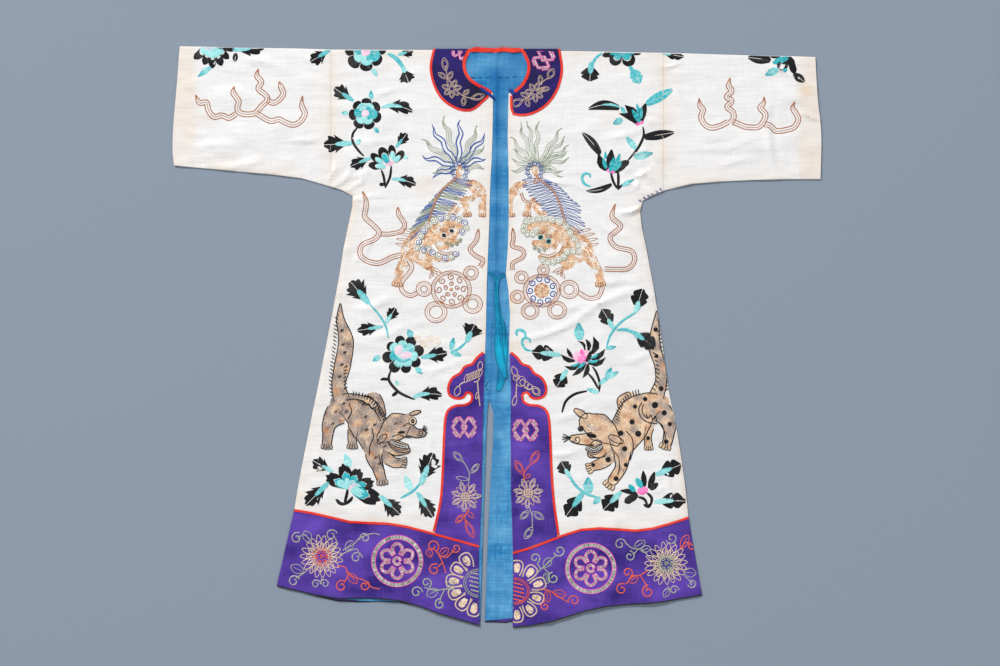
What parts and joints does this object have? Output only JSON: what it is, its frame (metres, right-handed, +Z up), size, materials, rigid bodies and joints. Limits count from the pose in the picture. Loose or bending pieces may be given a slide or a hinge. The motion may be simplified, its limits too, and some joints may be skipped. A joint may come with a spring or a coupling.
{
  "type": "chinese robe laid flat",
  "caption": "Open-fronted embroidered silk robe with straight sleeves, ring collar and wide hem band, laid flat on its back.",
  "frame": {"origin": "on the surface that the robe lies on, under the middle of its bounding box", "axes": "+X from cuff to cuff, to the right as the picture shows it, +Y from the hem to the shoulder fold, +Z up, out of the front"},
  "size_m": [1.3942, 1.25, 0.0077],
  "materials": {
    "cream_silk": "satin",
    "blue_lining": "matte",
    "purple_satin": "satin",
    "red_binding": "satin",
    "black_silk": "satin",
    "teal_ribbon": "satin",
    "dark_blue_cloth": "matte",
    "metal_thread": "satin",
    "turquoise_silk": "satin",
    "pink_silk": "satin"
  },
  "bodies": {
    "root": {"front_left": "cream_silk", "front_right": "cream_silk", "back_left": "cream_silk", "back_right": "cream_silk", "sleeve_left": "cream_silk", "sleeve_right": "cream_silk", "lining_left": "blue_lining", "lining_right": "blue_lining", "collar_left": "purple_satin", "collar_right": "purple_satin", "border_left": "purple_satin", "border_right": "purple_satin", "hem_band_front_left": "purple_satin", "hem_band_front_right": "purple_satin", "hem_band_back_left": "purple_satin", "hem_band_back_right": "purple_satin", "collar_edge_left": "red_binding", "collar_edge_right": "red_binding", "neck_edge_left": "red_binding", "neck_edge_right": "red_binding", "border_edge_left": "red_binding", "border_edge_right": "red_binding", "band_piping_front_left": "red_binding", "band_piping_front_right": "red_binding", "band_piping_back_left": "red_binding", "band_piping_back_right": "red_binding", "hem_binding_front_left": "black_silk", "hem_binding_front_right": "black_silk", "hem_binding_back_left": "black_silk", "hem_binding_back_right": "black_silk", "tie_left": "teal_ribbon", "tie_right": "teal_ribbon", "neck_tie_left": "dark_blue_cloth", "neck_tie_right": "dark_blue_cloth", "neck_binding": "red_binding"}
  },
  "joints": []
}
